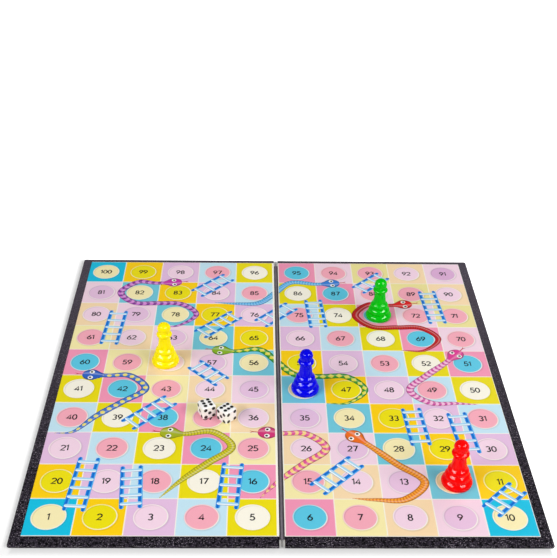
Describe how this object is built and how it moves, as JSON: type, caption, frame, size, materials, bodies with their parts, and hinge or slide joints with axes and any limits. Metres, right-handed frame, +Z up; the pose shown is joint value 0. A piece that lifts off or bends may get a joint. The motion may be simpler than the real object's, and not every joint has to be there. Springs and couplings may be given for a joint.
{
  "type": "folding board game",
  "caption": "Square folding snakes and ladders board of bound card leaves on a cloth hinge, with playing pawns and dice that stand on its numbered squares.",
  "frame": {"origin": "middle of the open board, on the table it lies on", "axes": "+X across the two leaves to the right leaf, +Y away from the player, +Z up from the table"},
  "size_m": [0.254, 0.254, 0.0287],
  "materials": {
    "greyboard": "solid grey pulp board",
    "play_print": "laminated colour print",
    "chess_print": "laminated two colour print",
    "leatherette": "grained black leatherette",
    "hinge_cloth": "grey book cloth",
    "yellow_plastic": "glossy moulded",
    "green_plastic": "glossy moulded",
    "blue_plastic": "glossy moulded",
    "red_plastic": "glossy moulded",
    "white_plastic": "glossy, black pips"
  },
  "bodies": {
    "left_leaf": {"left_core_board": "greyboard", "left_play_sheet": "play_print", "left_chess_sheet": "chess_print", "left_side_binding": "leatherette", "left_front_binding": "leatherette", "left_back_binding": "leatherette", "hinge_cloth_left": "hinge_cloth"},
    "right_leaf": {"right_core_board": "greyboard", "right_play_sheet": "play_print", "right_chess_sheet": "chess_print", "right_side_binding": "leatherette", "right_front_binding": "leatherette", "right_back_binding": "leatherette", "hinge_cloth_right": "hinge_cloth"},
    "yellow_pawn": {"yellow_pawn": "yellow_plastic"},
    "green_pawn": {"green_pawn": "green_plastic"},
    "blue_pawn": {"blue_pawn": "blue_plastic"},
    "red_pawn": {"red_pawn": "red_plastic"},
    "left_die": {"left_die": "white_plastic"},
    "right_die": {"right_die": "white_plastic"}
  },
  "joints": [
    {"name": "fold", "type": "hinge", "parent": "left_leaf", "child": "right_leaf", "pos_m": [0, 0, -0.00015], "axis": [0, 1, 0], "range_deg": [0, 180]},
    {"name": "yellow_pawn_lift", "type": "slide", "parent": "left_leaf", "child": "yellow_pawn", "axis": [0, 0, 1], "range_m": [0, 0.06]},
    {"name": "green_pawn_lift", "type": "slide", "parent": "right_leaf", "child": "green_pawn", "axis": [0, 0, 1], "range_m": [0, 0.06]},
    {"name": "blue_pawn_lift", "type": "slide", "parent": "right_leaf", "child": "blue_pawn", "axis": [0, 0, 1], "range_m": [0, 0.06]},
    {"name": "red_pawn_lift", "type": "slide", "parent": "right_leaf", "child": "red_pawn", "axis": [0, 0, 1], "range_m": [0, 0.06]},
    {"name": "left_die_lift", "type": "slide", "parent": "left_leaf", "child": "left_die", "axis": [0, 0, 1], "range_m": [0, 0.06]},
    {"name": "right_die_lift", "type": "slide", "parent": "left_leaf", "child": "right_die", "axis": [0, 0, 1], "range_m": [0, 0.06]}
  ]
}
